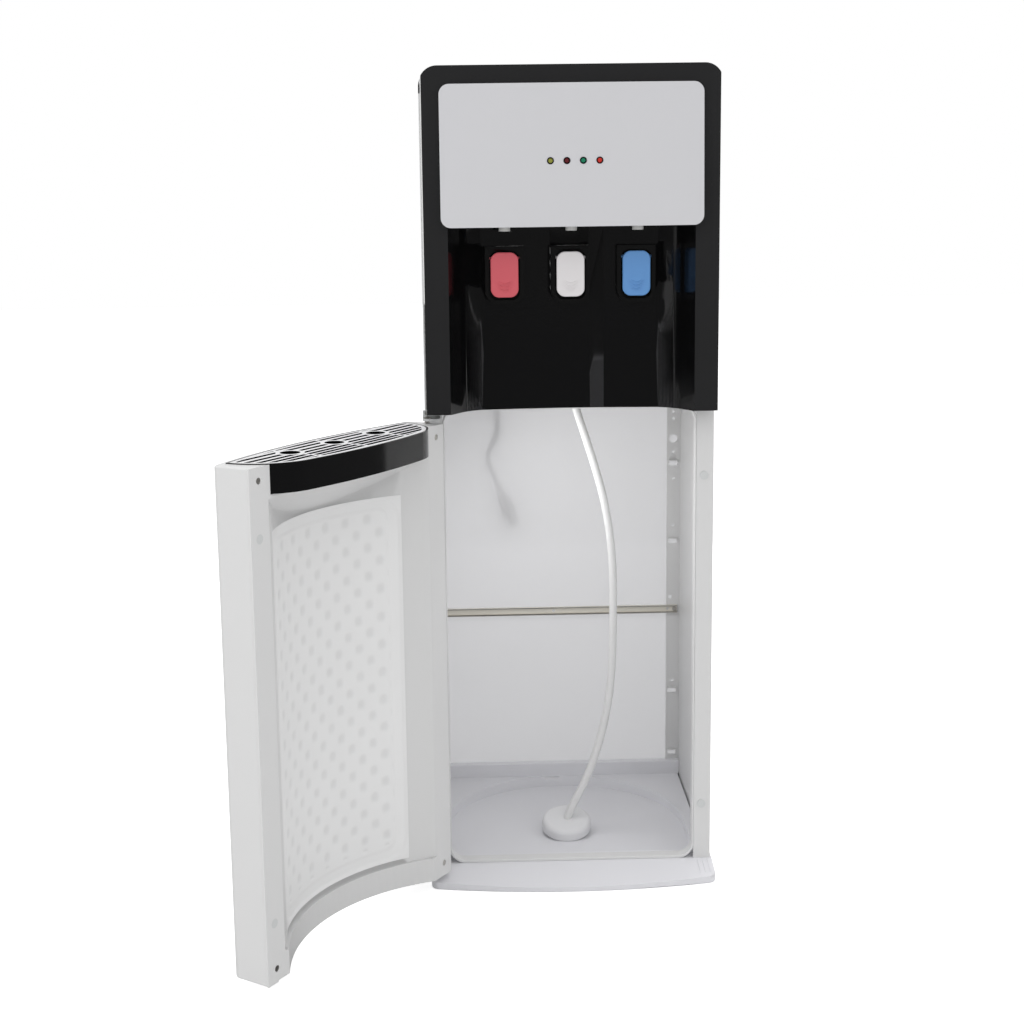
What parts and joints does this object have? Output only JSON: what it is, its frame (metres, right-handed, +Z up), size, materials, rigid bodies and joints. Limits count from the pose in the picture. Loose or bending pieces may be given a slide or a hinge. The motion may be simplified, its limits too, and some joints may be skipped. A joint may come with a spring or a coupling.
{
  "type": "bottom load water cooler",
  "caption": "Free-standing bottom-loading water cooler with its cabinet door open, a suction hose and cap inside, three push taps over a drip tray on the door, and a louvred back.",
  "frame": {"origin": "on the floor, at the middle of the base's underside, on the cabinet's mid-plane", "axes": "+Z up, -Y towards the front where the taps are, +X to the right as seen from the front, with the door hinged on the left"},
  "size_m": [0.5355, 0.6272, 0.945],
  "materials": {
    "white_sheet": "powder-coated steel sheet",
    "white_moulding": "satin moulded plastic",
    "light_grey_moulding": "satin moulded plastic",
    "milky_sheet": "milky translucent sheet",
    "zinc_steel": "zinc-plated",
    "steel": "plated steel",
    "black_gloss": "high gloss",
    "dark_housing": "gloss",
    "red_paddle": "gloss",
    "white_paddle": "gloss",
    "blue_paddle": "gloss",
    "green_rocker": "gloss",
    "lamp_green": "lamp lens",
    "lamp_red": "lamp lens",
    "lamp_amber": "lamp lens",
    "lamp_orange": "lamp lens",
    "nozzle_white": "translucent white",
    "silver_moulding": "silver finish",
    "clear_hose": "milky translucent silicone",
    "cap_white": "satin",
    "cord_black": "flexible PVC",
    "tank_steel": "drawn stainless steel",
    "foam": "expanded foam",
    "bare_aluminium": "extruded",
    "board_green": "glass-fibre board",
    "pump_black": "moulded"
  },
  "bodies": {
    "cabinet": {"back_panel": "milky_sheet", "base_tray": "white_moulding", "cabinet_screws": "steel", "catch_discs": "zinc_steel", "circuit_board": "board_green", "cold_tank": "tank_steel", "cold_tank_jacket": "foam", "control_panel": "light_grey_moulding", "cooling_led": "lamp_amber", "cord_tie": "cord_black", "crossbar": "zinc_steel", "deck_plate": "zinc_steel", "drain_spigot": "pump_black", "empty_bottle_led": "lamp_orange", "fan_frame": "dark_housing", "front_fascia": "black_gloss", "heat_sink": "bare_aluminium", "heating_led": "lamp_red", "hinge_screws": "steel", "hose_gland": "cap_white", "hot_tank": "tank_steel", "left_side_panel": "white_sheet", "lower_hinge_pin": "steel", "nozzles": "nozzle_white", "opening_trim": "white_moulding", "paddle_housings": "dark_housing", "plug": "cord_black", "plug_blades": "steel", "power_cord_coil": "cord_black", "power_cord_lead": "cord_black", "power_cord_tail": "cord_black", "power_led": "lamp_green", "pump": "pump_black", "rear_cover": "white_moulding", "rear_sill": "white_moulding", "right_side_panel": "white_sheet", "strain_relief": "cord_black", "suction_cap": "cap_white", "suction_hose": "clear_hose", "switch_housings": "dark_housing", "tap_valves": "nozzle_white", "top_cover": "black_gloss", "upper_hinge_bracket": "zinc_steel", "upper_hinge_pin": "steel"},
    "door": {"door_shell": "white_moulding", "door_liner": "white_moulding", "door_screws": "steel", "door_magnets": "zinc_steel"},
    "tray": {"drip_tray": "black_gloss"},
    "grille": {"drip_grille": "silver_moulding"},
    "hot_paddle_body": {"hot_paddle": "red_paddle"},
    "room_paddle_body": {"room_paddle": "white_paddle"},
    "cold_paddle_body": {"cold_paddle": "blue_paddle"},
    "fan": {"fan_rotor": "pump_black"},
    "hot_rocker": {"hot_switch_rocker": "red_paddle"},
    "cold_rocker": {"cold_switch_rocker": "green_rocker"},
    "drain_cap": {"drain_plug": "dark_housing"}
  },
  "joints": [
    {"name": "door_hinge", "type": "hinge", "parent": "cabinet", "child": "door", "pos_m": [-0.163, -0.1345, 0.3], "axis": [0, 0, 1], "range_deg": [-6.43, 123.57]},
    {"name": "tray_lift", "type": "slide", "parent": "door", "child": "tray", "axis": [0, 0, -1], "range_m": [-0.035, 0]},
    {"name": "grille_lift", "type": "slide", "parent": "tray", "child": "grille", "axis": [0, 0, -1], "range_m": [-0.03, 0]},
    {"name": "hot_paddle_push", "type": "hinge", "parent": "cabinet", "child": "hot_paddle_body", "pos_m": [-0.0736, -0.1305, 0.737], "axis": [1, 0, 0], "range_deg": [0, 8], "stiffness_Nm_per_rad": 0.2},
    {"name": "room_paddle_push", "type": "hinge", "parent": "cabinet", "child": "room_paddle_body", "pos_m": [0, -0.1305, 0.737], "axis": [1, 0, 0], "range_deg": [0, 8], "stiffness_Nm_per_rad": 0.2},
    {"name": "cold_paddle_push", "type": "hinge", "parent": "cabinet", "child": "cold_paddle_body", "pos_m": [0.0736, -0.1305, 0.737], "axis": [1, 0, 0], "range_deg": [0, 8], "stiffness_Nm_per_rad": 0.2},
    {"name": "fan_spin", "type": "hinge", "parent": "cabinet", "child": "fan", "pos_m": [0.095, 0.1081, 0.68], "axis": [0, 1, 0], "continuous": true},
    {"name": "hot_switch_rock", "type": "hinge", "parent": "cabinet", "child": "hot_rocker", "pos_m": [0.096, 0.1844, 0.876], "axis": [1, 0, 0], "range_deg": [-16, 0]},
    {"name": "cold_switch_rock", "type": "hinge", "parent": "cabinet", "child": "cold_rocker", "pos_m": [0.126, 0.1844, 0.876], "axis": [1, 0, 0], "range_deg": [-16, 0]},
    {"name": "drain_pull", "type": "slide", "parent": "cabinet", "child": "drain_cap", "axis": [0, 1, 0], "range_m": [0, 0.03]}
  ]
}
